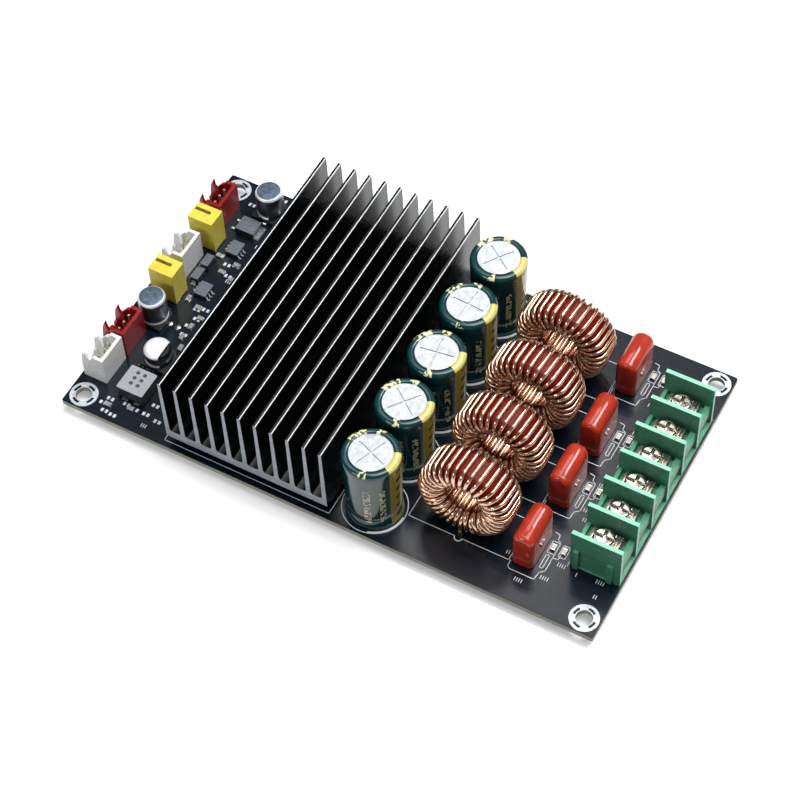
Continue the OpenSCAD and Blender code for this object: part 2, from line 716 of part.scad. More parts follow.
pcb();
heatsink();
heatsink_spacers();
heatsink_screws();
thermal_pad();
amplifier_chip();
amplifier_chip_leads();
bulk_cap_can(0);  // bulk_cap_can_1
bulk_cap_can(1);  // bulk_cap_can_2
bulk_cap_can(2);  // bulk_cap_can_3
bulk_cap_can(3);  // bulk_cap_can_4
bulk_cap_can(4);  // bulk_cap_can_5
bulk_cap_sleeve(0);  // bulk_cap_sleeve_1
bulk_cap_sleeve(1);  // bulk_cap_sleeve_2
bulk_cap_sleeve(2);  // bulk_cap_sleeve_3
bulk_cap_sleeve(3);  // bulk_cap_sleeve_4
bulk_cap_sleeve(4);  // bulk_cap_sleeve_5
bulk_cap_bungs();
bulk_cap_leads();
inductor_core(0);  // inductor_core_1
inductor_core(1);  // inductor_core_2
inductor_core(2);  // inductor_core_3
inductor_core(3);  // inductor_core_4
inductor_winding(0);  // inductor_winding_1
inductor_winding(1);  // inductor_winding_2
inductor_winding(2);  // inductor_winding_3
inductor_winding(3);  // inductor_winding_4
film_cap(0);  // film_cap_1
film_cap(1);  // film_cap_2
film_cap(2);  // film_cap_3
film_cap(3);  // film_cap_4
film_cap_leads();
terminal_housing();
terminal_contacts();
terminal_clamp(0);  // terminal_clamp_1
terminal_clamp(1);  // terminal_clamp_2
terminal_clamp(2);  // terminal_clamp_3
terminal_clamp(3);  // terminal_clamp_4
terminal_clamp(4);  // terminal_clamp_5
terminal_clamp(5);  // terminal_clamp_6
terminal_screw(0);  // terminal_screw_1
terminal_screw(1);  // terminal_screw_2
terminal_screw(2);  // terminal_screw_3
terminal_screw(3);  // terminal_screw_4
terminal_screw(4);  // terminal_screw_5
terminal_screw(5);  // terminal_screw_6
header(0);  // header_1
header(1);  // header_2
header(2);  // header_3
header(3);  // header_4
header_pins();
box_cap(0);  // box_cap_1
box_cap(1);  // box_cap_2
smd_capacitor_cans();
smd_capacitor_bases();
power_inductor();
small_chips();
chip_resistors();
smd_terminals();
solder_joints();
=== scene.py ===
# %% [markdown]
# # An audio power amplifier board
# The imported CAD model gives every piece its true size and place. This notebook dresses it: it rounds
# the edges that catch light, winds the coils with smooth wire, prints the board's white outlines and
# gives each piece the finish that its real material has.

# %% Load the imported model
import json
import math

import bmesh
import bpy
from mathutils import Matrix, Vector

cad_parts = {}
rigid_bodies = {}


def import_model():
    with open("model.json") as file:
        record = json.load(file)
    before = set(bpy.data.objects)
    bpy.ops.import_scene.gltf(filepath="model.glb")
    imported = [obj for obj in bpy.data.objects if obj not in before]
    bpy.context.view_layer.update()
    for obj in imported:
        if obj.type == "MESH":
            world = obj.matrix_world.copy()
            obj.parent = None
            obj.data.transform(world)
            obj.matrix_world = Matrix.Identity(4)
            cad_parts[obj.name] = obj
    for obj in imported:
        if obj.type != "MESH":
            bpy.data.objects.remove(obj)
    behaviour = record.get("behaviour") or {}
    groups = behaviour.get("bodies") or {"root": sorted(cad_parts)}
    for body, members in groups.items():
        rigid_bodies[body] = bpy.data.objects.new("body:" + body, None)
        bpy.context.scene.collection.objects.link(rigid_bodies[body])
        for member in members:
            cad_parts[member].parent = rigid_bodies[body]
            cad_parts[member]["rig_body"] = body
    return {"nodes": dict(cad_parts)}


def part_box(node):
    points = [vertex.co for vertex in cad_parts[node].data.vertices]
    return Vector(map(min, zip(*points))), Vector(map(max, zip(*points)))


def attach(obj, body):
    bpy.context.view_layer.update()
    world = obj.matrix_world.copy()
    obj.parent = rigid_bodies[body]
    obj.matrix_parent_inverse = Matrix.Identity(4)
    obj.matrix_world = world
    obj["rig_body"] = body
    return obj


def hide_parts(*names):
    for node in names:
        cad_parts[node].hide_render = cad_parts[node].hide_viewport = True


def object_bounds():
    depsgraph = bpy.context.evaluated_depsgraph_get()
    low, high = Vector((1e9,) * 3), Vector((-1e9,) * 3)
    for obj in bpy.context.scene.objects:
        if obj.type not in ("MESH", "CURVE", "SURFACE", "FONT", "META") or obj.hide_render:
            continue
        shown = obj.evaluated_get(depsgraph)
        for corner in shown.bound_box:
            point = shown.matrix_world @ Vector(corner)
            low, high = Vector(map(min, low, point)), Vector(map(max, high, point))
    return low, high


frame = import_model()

cad_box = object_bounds()
nodes = frame["nodes"]
print(len(nodes), "CAD nodes, from", tuple(cad_box[0]), "to", tuple(cad_box[1]))

# %% [markdown]
# Places on a board are read from its front left corner, on its top face, in millimetres, as a board
# designer does. One helper turns them into the metres of the CAD frame.

# %% Places on the board
MM = 0.001
board_low, board_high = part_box("pcb")
board_corner = Vector((board_low.x, board_low.y, board_high.z))
board_length = (board_high.x - board_low.x) / MM
board_width = (board_high.y - board_low.y) / MM
board_thick = (board_high.z - board_low.z) / MM


def place(x, y, z=0.0):
    return board_corner + Vector((x, y, z)) * MM


def middle(node):
    low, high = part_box(node)
    return (low + high) / 2


def spot(node):
    """The middle of a piece, in millimetres from the board's front left corner."""
    return (middle(node) - board_corner) / MM


def extent(node):
    """The two ends of a piece's box, in millimetres from the board's front left corner."""
    return [(end - board_corner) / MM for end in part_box(node)]


print("board", round(board_length, 1), "x", round(board_width, 1), "x", round(board_thick, 1), "mm")

# %% [markdown]
# The camera stands in front and to the right, looking down at about 55 degrees with a long lens, so
# the board's edges run almost parallel. Everything that stands in the scene is put there by one
# helper, from its name and its data.

# %% Camera
LENS, SENSOR = 101.49, 36
CAMERA_AT = Vector((186.79, -307.21, 506.26))
CAMERA_TURN = (35.148, 1.894, 28.594)


def put(name, data):
    thing = bpy.data.objects.new(name, data)
    bpy.context.scene.collection.objects.link(thing)
    return thing


camera_data = bpy.data.cameras.new("camera")
camera_data.lens = LENS
camera_data.sensor_width = SENSOR
camera = put("camera", camera_data)
camera.location = CAMERA_AT * MM
camera.rotation_euler = [math.radians(a) for a in CAMERA_TURN]
bpy.context.scene.camera = camera
bpy.context.scene.view_settings.view_transform = "Standard"
print("camera at", tuple(round(v, 3) for v in camera.location))

# %% [markdown]
# Colours are written as the hex values that a colour picker shows and turned to linear light here.
# One small helper adds a shader node with its settings and its inputs: each input is given another
# node's output, a number or a colour. Every material starts from `start_material`, which hands back
# the material, its tree, its shader and a coordinate in metres.

# %% Colour and node helpers


def linear(code):
    channels = [int(code[i : i + 2], 16) / 255 for i in (1, 3, 5)]
    return [c / 12.92 if c <= 0.04045 else ((c + 0.055) / 1.055) ** 2.4 for c in channels] + [1.0]


def add(tree, kind, inputs=(), **settings):
    node = tree.nodes.new("ShaderNode" + kind)
    for name, value in settings.items():
        if name in node.inputs:
            node.inputs[name].default_value = value
        else:
            setattr(node, name, value)
    for socket, source in dict(inputs).items():
        if isinstance(source, bpy.types.NodeSocket):
            tree.links.new(source, node.inputs[socket])
        else:
            node.inputs[socket].default_value = linear(source) if isinstance(source, str) else source
    return node


def start_material(name, colour, roughness, metallic=0.0, **shader_settings):
    material = bpy.data.materials.new(name)
    material.use_nodes = True
    tree = material.node_tree
    shader = tree.nodes["Principled BSDF"]
    shader.inputs["Base Color"].default_value = linear(colour)
    shader.inputs["Roughness"].default_value = roughness
    shader.inputs["Metallic"].default_value = metallic
    for socket, value in shader_settings.items():
        shader.inputs[socket.replace("_", " ")].default_value = value
    where = add(tree, "TexCoord").outputs["Object"]
    return material, tree, shader, where


def per_mm(size):
    """How often a pattern repeats in a metre when it repeats every `size` millimetres."""
    return 1 / (size * MM)


print("one millimetre repeats", per_mm(1), "times a metre")

# %% [markdown]
# Most finishes need three things: a colour that wanders a little, a roughness that wanders with it,
# and a fine bump. `grain` gives all three at a real size in millimetres, and `stretch` draws the
# grain out along one axis, as rolling, sawing or extruding does. Noise keeps near its middle, so the
# two colours are set at the ends of the band where most of it lies.

# %% Grain for any finish
NOISE_BAND = (0.35, 0.65)


def grain(tree, shader, where, colours, size, bump, roughness=None, stretch=(1, 1, 1), detail=3.0):
    scaled = add(tree, "Mapping", {"Vector": where}, Scale=stretch).outputs["Vector"]
    noise = add(tree, "TexNoise", {"Vector": scaled}, Scale=per_mm(size), Detail=detail).outputs["Fac"]
    ramp = add(tree, "ValToRGB", {"Fac": noise})
    for element, position, colour in zip(ramp.color_ramp.elements, NOISE_BAND, colours):
        element.position = position
        element.color = linear(colour)
    tree.links.new(ramp.outputs["Color"], shader.inputs["Base Color"])
    if roughness:
        spread = add(tree, "MapRange", {"Value": noise, "To Min": roughness[0], "To Max": roughness[1]})
        tree.links.new(spread.outputs["Result"], shader.inputs["Roughness"])
    if bump:
        relief = add(tree, "Bump", {"Height": noise}, Distance=bump * MM, Strength=1.0)
        tree.links.new(relief.outputs["Normal"], shader.inputs["Normal"])


print("most noise lies between", *NOISE_BAND)

# %% [markdown]
# A copy of a CAD node can be given rounded edges, which the solid itself leaves sharp. Real moulded
# and stamped edges have a radius of 0.1 to 0.3 mm, and those thin bright lines are what makes a
# render of a small object believable. The copy's triangles are merged back into whole faces first,
# so that a bevel finds only real edges.

# %% Rounded copies of CAD nodes
FACING = 0.9
WELD = 1e-6


def body_of(node):
    return nodes[node]["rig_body"]


def faces_up(face):
    return int(face.normal.z > FACING)


def shade_smooth(mesh, sharp=None):
    mesh.polygons.foreach_set("use_smooth", [True] * len(mesh.polygons))
    if sharp is not None:
        mesh.set_sharp_from_angle(angle=math.radians(sharp))


def cut_corner(bm, edges, width, segments, material=-1):
    bmesh.ops.bevel(
        bm,
        geom=edges,
        affect="EDGES",
        offset=width,
        segments=segments,
        profile=0.5,
        material=material,
    )


def edged(node, materials, radius, sharp=35, merge=1.0, pick=None, chamfer=None):
    """A copy of a CAD node in new finishes: `pick` gives each face its finish by number."""
    bm = bmesh.new()
    bm.from_mesh(nodes[node].data)
    bmesh.ops.remove_doubles(bm, verts=bm.verts, dist=WELD)
    if merge:
        bmesh.ops.dissolve_limit(bm, angle_limit=math.radians(merge), verts=bm.verts, edges=bm.edges)
    if pick:
        bm.normal_update()
        for face in bm.faces:
            face.material_index = pick(face)
    if chamfer:
        chosen, width, index = chamfer
        cut_corner(bm, [edge for edge in bm.edges if chosen(edge)], width * MM, 2, index)
    mesh = bpy.data.meshes.new(node + "_edged")
    bm.to_mesh(mesh)
    bm.free()
    for material in materials:
        mesh.materials.append(material)
    shade_smooth(mesh, sharp)
    piece = put(mesh.name, mesh)
    if radius:
        bevel = piece.modifiers.new("edge radius", "BEVEL")
        bevel.width = radius * MM
        bevel.segments = 2
        bevel.limit_method = "ANGLE"
        bevel.angle_limit = math.radians(sharp)
        bevel.harden_normals = True
    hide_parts(node)
    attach(piece, body_of(node))
    return piece


print("a corner is welded within", WELD, "m")

# %% [markdown]
# What the CAD model leaves to this notebook, such as ink and tinned pads, is shaped in a bmesh and
# then made an object that rides on the board. A piece that takes a CAD node's place hides that node.

# %% New pieces


def new_piece(bm, name, materials, stands_for=()):
    mesh = bpy.data.meshes.new(name)
    bm.normal_update()
    bm.to_mesh(mesh)
    bm.free()
    for material in materials:
        mesh.materials.append(material)
    piece = put(name, mesh)
    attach(piece, "board")
    if stands_for:
        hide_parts(*stands_for)
    print(name, len(mesh.polygons), "faces")
    return piece


print("new pieces ride on", body_of("pcb"))

# %% [markdown]
# The circuit board is glass cloth in epoxy, cut from a sheet and coated with a dark navy solder mask.
# Its cut edge shows the pale laminate. The mask has a satin gloss, and the copper beneath it and the
# rolling of the sheet leave long faint streaks, which show where it mirrors the light.

# %% Solder mask and laminate edge
GLOSS_LEAST, GLOSS_MOST = 0.15, 0.3
STREAK_SIZE, STREAK_DEPTH = 0.7, 0.02
ALONG_X = (0.03, 1.5, 1)
CUT_SLOPE = 0.5
solder_mask, tree, shader, where = start_material("navy_solder_mask", "#04101c", 0.26, IOR=1.5)
grain(tree, shader, where, ("#030d18", "#061421"), 9, 0.0)
drawn_out = add(tree, "Mapping", {"Vector": where}, Scale=ALONG_X).outputs["Vector"]
streaks = add(tree, "TexNoise", {"Vector": drawn_out}, Scale=per_mm(STREAK_SIZE), Detail=4.0).outputs["Fac"]
gloss = add(tree, "MapRange", {"Value": streaks, "To Min": GLOSS_LEAST, "To Max": GLOSS_MOST})
tree.links.new(gloss.outputs["Result"], shader.inputs["Roughness"])
relief = add(tree, "Bump", {"Height": streaks}, Distance=STREAK_DEPTH * MM, Strength=1.0)
tree.links.new(relief.outputs["Normal"], shader.inputs["Normal"])

laminate, tree, shader, where = start_material("glass_cloth_laminate", "#a3a08f", 0.6)
grain(tree, shader, where, ("#8f8c7b", "#b4b1a0"), 0.5, 0.01, None, (0.2, 0.2, 3))

board = edged(
    "pcb",
    (solder_mask, laminate),
    0.0,
    pick=lambda face: int(abs(face.normal.z) < CUT_SLOPE),
)
print("board faces:", len(board.data.polygons))

# %% [markdown]
# The heatsink is an aluminium extrusion, anodised black after it was ribbed and then sawn to length,
# so its fins are black and its two sawn ends are bare. The right top edge of every fin is a small
# chamfer in a pale bare metal finish: a painted highlight that draws the thin bright lines there.

# %% Anodised aluminium and sawn ends
anodised, tree, shader, where = start_material(
    "black_anodised_aluminium", "#030304", 0.34, IOR=1.45, Coat_Weight=0.2, Coat_Roughness=0.3
)
grain(tree, shader, where, ("#020203", "#050506"), 0.6, 0.0, (0.22, 0.3), (1, 0.03, 1))

sawn, tree, shader, where = start_material("sawn_aluminium", "#85898f", 0.45, 1.0)
grain(tree, shader, where, ("#767a80", "#94989e"), 0.5, 0.004, (0.4, 0.52), (0.06, 1, 1))

# A pale bare metal finish on the fins' right top edges only: a painted highlight for the thin bright lines.
fin_edge, tree, shader, where = start_material("bare_fin_edge_painted_highlight", "#a6a8ab", 0.44, 0.95)
grain(tree, shader, where, ("#a0a2a6", "#acaeb1"), 0.5, 0.0, (0.41, 0.47), (1, 0.05, 1))

FIN_CHAMFER = 0.26
FIN_TOP_REACH = 0.05
FIN_EDGE_SHORTEST = 50
fin_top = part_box("heatsink")[1].z


def on_fin_edge(edge):
    """A top edge of a fin, on its right: it joins the fin's top to a side that faces right."""
    if any(vert.co.z < fin_top - FIN_TOP_REACH * MM for vert in edge.verts):
        return False
    if edge.calc_length() <= FIN_EDGE_SHORTEST * MM:
        return False
    return any(face.normal.x > FACING for face in edge.link_faces)


heatsink = edged(
    "heatsink",
    (anodised, sawn, fin_edge),
    0.0,
    pick=lambda face: int(abs(face.normal.y) > FACING),
    chamfer=(on_fin_edge, FIN_CHAMFER, 2),
    sharp=20,
)
print("heatsink faces:", len(heatsink.data.polygons))

# %% [markdown]
# Screws and spacers are nickel plated steel: bright, smooth and slightly warm. Tinned copper is
# greyer, a levelled pad is duller still, and the header pins have a thin flash of gold. Screws,
# spacers, contacts and pins get an edge radius of 0.05 mm, and thin leads and solder get none.

# %% Bright metals
nickel, tree, shader, where = start_material("nickel_plated_steel", "#c9c2b6", 0.16, 1.0)
grain(tree, shader, where, ("#bab2a5", "#d6d0c5"), 0.5, 0.002, (0.12, 0.22))

clamp_metal, tree, shader, where = start_material("stamped_nickel_plate", "#bdb5a6", 0.2, 1.0)
grain(tree, shader, where, ("#aca394", "#cdc6b9"), 0.4, 0.003, (0.16, 0.28))

contact_metal, tree, shader, where = start_material("tin_plated_brass", "#b7b09a", 0.35, 1.0)
grain(tree, shader, where, ("#a39c86", "#c4bda8"), 0.6, 0.004, (0.3, 0.42))

tin, tree, shader, where = start_material("tinned_copper", "#c3c8cc", 0.28, 1.0)
grain(tree, shader, where, ("#b2b8bd", "#d3d7da"), 0.5, 0.004, (0.22, 0.36))

pad_tin, tree, shader, where = start_material("levelled_tin_pad", "#ccd2d8", 0.55, 0.8)
grain(tree, shader, where, ("#b9c0c8", "#dbe0e4"), 0.7, 0.01, (0.45, 0.65))

solder, tree, shader, where = start_material("reflowed_solder", "#bfc4c9", 0.24, 1.0)
grain(tree, shader, where, ("#aab0b6", "#d0d4d8"), 0.4, 0.01, (0.18, 0.34))

gilt, tree, shader, where = start_material("gold_flashed_pin", "#c9bf9e", 0.32, 1.0)
grain(tree, shader, where, ("#bdb391", "#d5ccae"), 0.6, 0.002, (0.3, 0.42))

for node, material, slot in (
    ("heatsink_spacers", nickel, "nickel_steel"),
    ("heatsink_screws", nickel, "nickel_steel"),
    ("terminal_contacts", contact_metal, "contact_brass"),
    ("header_pins", gilt, "pin_gold"),
    ("smd_terminals", tin, "tinned_copper"),
):
    edged(node, (material,), 0.05)
for node, material, slot in (
    ("bulk_cap_leads", tin, "tinned_copper"),
    ("film_cap_leads", tin, "tinned_copper"),
    ("amplifier_chip_leads", tin, "tinned_copper"),
    ("solder_joints", solder, "solder"),
):
    edged(node, (material,), 0.0)
print("bright metals done")

# %% [markdown]
# The terminal strip is moulded in a green polyamide: satin, a little waxy, with soft edges. The
# plates' tops and right ends are painted a pale mint as a painted highlight, and other faces that
# look up a green between the two as painted light from above. Each screw head is turned and
# cross-slotted, and each clamp plate is stamped.

# %% Terminal strip
green, tree, shader, where = start_material("green_polyamide", "#438265", 0.34, IOR=1.5)
grain(tree, shader, where, ("#3d7a5e", "#498a6d"), 0.9, 0.004, (0.3, 0.4))
# Faces that look up get a lighter green as painted light, and the plates' tops and right ends a pale mint as
# a painted highlight.
upward_green_painted_light, tree, shader, where = start_material("green_polyamide_floor_painted_light", "#56a582", 0.36, IOR=1.5)
grain(tree, shader, where, ("#4f9d7a", "#5ead8a"), 0.9, 0.004, (0.32, 0.42))
rim_green_painted_highlight, tree, shader, where = start_material("green_polyamide_rim_painted_highlight", "#93dcbd", 0.36, IOR=1.5)
grain(tree, shader, where, ("#8ad4b4", "#9ce4c6"), 0.9, 0.004, (0.32, 0.42))
RIM_REACH = 0.3
strip_right, _, strip_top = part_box("terminal_housing")[1]


def pick_painted_light(face):
    """Two, the painted highlight, for the plates' tops and right ends; one, painted light from above, for
    other faces that look up; else none.
    """
    centre = face.calc_center_median()
    if face.normal.z > FACING:
        return 2 if centre.z > strip_top - RIM_REACH * MM else 1
    return 2 if face.normal.x > FACING and centre.x > strip_right - RIM_REACH * MM else 0


edged("terminal_housing", (green, upward_green_painted_light, rim_green_painted_highlight), 0.16, pick=pick_painted_light)
for way in range(1, 7):
    edged(f"terminal_clamp_{way}", (clamp_metal,), 0.1)
    edged(f"terminal_screw_{way}", (nickel,), 0.12)
print("terminal strip done")

# %% [markdown]
# Plug headers are moulded in white or red nylon. The white one passes a little light into its skin.
# Their walls and horns are in the CAD node already, so a copy with an edge radius of 0.12 mm is all
# that they need to show the bright rims of moulded plastic.

# %% Plug headers
white_nylon, tree, shader, where = start_material(
    "white_nylon", "#eaebea", 0.42, Subsurface_Weight=0.15, Subsurface_Scale=0.001
)
grain(tree, shader, where, ("#e4e5e4", "#f0f1f0"), 1.2, 0.004)
red_nylon, tree, shader, where = start_material("red_nylon", "#8f0d15", 0.34)
grain(tree, shader, where, ("#850b12", "#9a1019"), 1.2, 0.006)
for header, material, slot in (
    (1, white_nylon, "white_moulding"),
    (2, red_nylon, "red_moulding"),
    (3, white_nylon, "white_moulding"),
    (4, red_nylon, "red_moulding"),
):
    edged(f"header_{header}", (material,), 0.12)
print("headers done")

# %% [markdown]
# A box capacitor is potted in a yellow polyester shell. The shell is a plain box, so a copy of the
# CAD node with a soft radius of 0.4 mm on its edges gives its form.

# %% Box capacitors
yellow_shell, tree, shader, where = start_material("yellow_polyester_shell", "#e6d24a", 0.36)
grain(tree, shader, where, ("#dfca42", "#ecd954"), 1.4, 0.003, (0.32, 0.42))
for box in (1, 2):
    edged(f"box_cap_{box}", (yellow_shell,), 0.4)
print("box capacitors done")

# %% [markdown]
# Chips are moulded in black epoxy. The small ones have a grey top, which stands in partly for their laser
# marking and is partly painted light on faces that look up.
# Resistors and small capacitors are fired ceramic: grey at the left of the board, and cream beside
# the film capacitors. Each CAD node holds many parts, so a face gets its finish by the way it looks
# or by the half of the board that it lies on.

# %% Chips and ceramic parts
chip_epoxy, tree, shader, where = start_material("moulded_chip_epoxy", "#18191b", 0.5)
grain(tree, shader, where, ("#141517", "#1f2022"), 0.25, 0.008, (0.45, 0.6))
# The small chips' grey top stands in partly for laser marking and is partly painted light.
chip_top_marking_and_painted_light, tree, shader, where = start_material("grey_chip_top_marking_and_painted_light", "#5c626b", 0.6)
grain(tree, shader, where, ("#4c525a", "#6c737c"), 0.4, 0.008, (0.5, 0.65))
for node in ("amplifier_chip", "smd_capacitor_bases"):
    edged(node, (chip_epoxy,), 0.1)
edged("small_chips", (chip_epoxy, chip_top_marking_and_painted_light), 0.1, pick=faces_up)

ceramic, tree, shader, where = start_material("fired_ceramic_chip", "#8d8a86", 0.45)
grain(tree, shader, where, ("#7d7a77", "#9b9894"), 0.3, 0.006, (0.4, 0.55))
cream_ceramic, tree, shader, where = start_material("cream_ceramic_chip", "#d9cfb4", 0.45)
grain(tree, shader, where, ("#cdc2a6", "#e3dac2"), 0.3, 0.006, (0.4, 0.55))
board_middle = middle("pcb").x
edged(
    "chip_resistors",
    (ceramic, cream_ceramic),
    0.04,
    pick=lambda face: int(face.calc_center_median().x > board_middle),
)
print("chips done")

# %% [markdown]
# The shielded power inductor is a block of pressed ferrite with a grey top. The top is told apart by
# the way it faces, so the block stays one mesh.

# %% Power inductor
ferrite, tree, shader, where = start_material("sintered_ferrite", "#1d1e20", 0.5)
grain(tree, shader, where, ("#17181a", "#26272a"), 0.3, 0.01, (0.42, 0.58))
cover, tree, shader, where = start_material("grey_ferrite_cover", "#9c9da2", 0.6)
grain(tree, shader, where, ("#919297", "#a7a8ad"), 0.3, 0.01, (0.55, 0.66))
edged("power_inductor", (ferrite, cover), 0.1, pick=faces_up)
print("power inductor done")

# %% [markdown]
# A surface-mount capacitor is a drawn aluminium can with a rounded shoulder. The sides of all three
# are painted a dark grey as painted shade. On the two tall ones the top is painted slate blue-grey as
# a painted reflection and the shoulder near white as a painted highlight. The low one has a pale top
# with a black segment, which marks its negative side and is drawn from the place across the board.
# Top, shoulder and side are told apart by height and slope, so one CAD node can wear all four finishes.

# %% Surface-mount cans
TALL_FROM = 7.5
LOW_CAN_X, BLACK_FROM = 17.0, 2.1
LOW_SLOPE, TALL_SLOPE = 0.25, 0.2
# The sides' dark grey is painted shade, the tall tops' slate blue-grey a painted reflection and the tall
# shoulders' near white a painted highlight.
can_side_painted_shade, tree, shader, where = start_material("drawn_aluminium_can_side_painted_shade", "#7d848d", 0.36, 1.0)
grain(tree, shader, where, ("#747b84", "#878e96"), 2.0, 0.0, (0.32, 0.4))
can_top_painted_reflection, tree, shader, where = start_material("slate_can_top_painted_reflection", "#5b6a7c", 0.4, 0.5)
grain(tree, shader, where, ("#4c5a6b", "#6a798b"), 1.2, 0.0, (0.36, 0.46))
half_black, tree, shader, where = start_material("half_black_can_top", "#f2f3f4", 0.5, 0.5)
across = add(tree, "SeparateXYZ", {"Vector": where}).outputs["X"]
black_edge = place(LOW_CAN_X + BLACK_FROM, 0).x
segment = add(tree, "Math", {0: across, 1: black_edge}, operation="GREATER_THAN").outputs["Value"]
half_and_half = add(tree, "Mix", {"Factor": segment, "A": "#f2f3f4", "B": "#0b0b0a"}, data_type="RGBA")
tree.links.new(half_and_half.outputs["Result"], shader.inputs["Base Color"])
shoulder, tree, shader, where = start_material("can_shoulder_painted_highlight", "#f1f3f5", 0.5, 0.5)
grain(tree, shader, where, ("#e8ebee", "#f8f9fa"), 2.0, 0.0, (0.46, 0.56))


def can_face(face):
    """A tall can's top (painted reflection), its shoulder (painted highlight), the low can's top and
    shoulder together, or a side (painted shade).
    """
    if face.calc_center_median().z < place(0, 0, TALL_FROM).z:
        return 2 if face.normal.z > LOW_SLOPE else 0
    if face.normal.z > FACING:
        return 1
    return 3 if face.normal.z > TALL_SLOPE else 0


can_finishes = (can_side_painted_shade, can_top_painted_reflection, half_black, shoulder)
edged("smd_capacitor_cans", can_finishes, 0.0, sharp=30, pick=can_face)
print("surface-mount cans done")

# %% [markdown]
# Under the heatsink lies a soft grey silicone pad, and a black rubber bung closes the foot of each bulk
# capacitor. Both are matt and hardly show, so they keep the CAD node's shape and get only a finish.

# %% Pad and bungs
pad_silicone, tree, shader, where = start_material("silicone_thermal_pad", "#8c949a", 0.7)
grain(tree, shader, where, ("#838b91", "#969da3"), 0.6, 0.01)
edged("thermal_pad", (pad_silicone,), 0.0)

bung, tree, shader, where = start_material("moulded_rubber_bung", "#1b1c1d", 0.7)
grain(tree, shader, where, ("#161718", "#212223"), 0.5, 0.01)
edged("bulk_cap_bungs", (bung,), 0.0)
print("pad and bungs done")

# %% [markdown]
# Dipped film capacitors come out of a bath of red epoxy: a thick, glossy coat that is drawn round by
# its own surface tension, so its top is a wide smooth curve that carries one long highlight. Each
# starts as a block of the CAD solid's size. Its long top edges get a broad bevel, its two ends get
# smaller ones, and its foot stays square. Bevels only take away, so the piece keeps within its box.

# %% Film capacitors
FILM_ROUND = 0.45
NEAR_ROUND, FAR_ROUND = 1.4, 2.2
TOP_STEPS, END_STEPS = 10, 6
AT_TOP, AT_END = 0.1, 0.01
red_epoxy, tree, shader, where = start_material(
    "dipped_red_epoxy", "#b23019", 0.5, Coat_Weight=0.9, Coat_Roughness=0.03, Specular_IOR_Level=0.15
)
grain(tree, shader, where, ("#aa2b15", "#ba3620"), 3.0, 0.0, (0.45, 0.55), detail=1.0)

for film in range(1, 5):
    low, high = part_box(f"film_cap_{film}")
    bm = bmesh.new()
    stretch = Matrix.Diagonal((*(high - low), 1))
    bmesh.ops.create_cube(bm, size=1, matrix=Matrix.Translation((low + high) / 2) @ stretch)
    long_top = [
        edge
        for edge in bm.edges
        if min(vert.co.z for vert in edge.verts) > high.z - AT_TOP * MM
        and abs(edge.verts[0].co.x - edge.verts[1].co.x) < AT_TOP * MM
    ]
    cut_corner(bm, long_top, (high.x - low.x) * FILM_ROUND, TOP_STEPS)
    for end, radius in ((low.y, NEAR_ROUND), (high.y, FAR_ROUND)):
        rim = [
            edge
            for edge in bm.edges
            if all(abs(vert.co.y - end) < AT_END * MM for vert in edge.verts)
            and max(vert.co.z for vert in edge.verts) > low.z + AT_TOP * MM
        ]
        cut_corner(bm, rim, radius * MM, END_STEPS)
    name = f"dipped_film_cap_{film}"
    dipped = new_piece(bm, name, (red_epoxy,), (f"film_cap_{film}",))
    shade_smooth(dipped.data, 50)
print("film capacitors done")

# %% [markdown]
# A bulk capacitor is a drawn aluminium can. Its top is scored with a cross, so that it opens there
# and nowhere else when the pressure inside rises, and the groove's faces are painted a darker grey
# than the lid, as painted shade in the groove. The groove is in the CAD node, so its faces are found by
# depth, size and slope and get a finish of their own.

# %% Finish of the bulk capacitors' lids
GROOVE_LEAST, GROOVE_MOST = 0.02, 0.5
GROOVE_FACE = 20
LEVEL = 0.999
can_top, tree, shader, where = start_material("satin_aluminium_can", "#eceef0", 0.7, 0.9)
grain(tree, shader, where, ("#c6cad0", "#e4e7ea"), 1.3, 0.003, (0.6, 0.8))
# The groove's darker grey is painted shade.
score, tree, shader, where = start_material("scored_groove_painted_shade", "#8d9094", 0.6, 0.6)
grain(tree, shader, where, ("#85888c", "#96999d"), 0.8, 0.0, (0.55, 0.65))
can_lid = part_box("bulk_cap_can_1")[1].z


def in_score(face):
    """One for small faces just below the lid that aren't level, which are the groove's and take its painted
    shade.
    """
    below = can_lid - face.calc_center_median().z
    if not GROOVE_LEAST * MM < below < GROOVE_MOST * MM:
        return 0
    return int(face.calc_area() < GROOVE_FACE * MM * MM and abs(face.normal.z) < LEVEL)


print("lid at", round(can_lid, 5))

# %% [markdown]
# Each can wears a printed sleeve that was shrunk on with heat. It is dark teal, with a yellow stripe
# and minus marks that show the negative side. The stripe is painted a darker gold on the side than on
# the rim, as painted shade on the side. Stripe, marks and print are slices of the circle, so they are
# drawn from the angle round the capacitor's own axis and from the height. The print itself is plain
# noise, cut into rows on the side and left as one line on the rim, and says nothing.

# %% Bulk capacitors in printed sleeves
STRIPE_MIDDLE, STRIPE_HALF = math.radians(1), math.radians(26)
MARK_PITCH, MARK_HALF, MARK_SHARE = 8.0, 0.55, 0.4
RIM_TALL = 0.9
ROW_PITCH, ROW_HALF = 1.5, 0.24
PRINT_LOW, PRINT_HIGH = -9.5, 5.5
PRINT_BREAK, PRINT_LEVEL = 1.1, 0.47
SIDE_PRINT = ((-73, 7), (-42, 6))
RIM_PRINT = ((150, 22), (95, 10), (-80, 8))
RIPPLE_SIZE, RIPPLE_DEPTH = 5, 0.003


def level_lines(tree, height, pitch, half):
    """Level lines that repeat up the sleeve, two in each pitch."""
    repeat = add(tree, "Math", {0: height, 1: pitch / 2 * MM}, operation="PINGPONG").outputs["Value"]
    line = {0: repeat, 1: pitch / 4 * MM, 2: half * MM}
    return add(tree, "Math", line, operation="COMPARE").outputs["Value"]


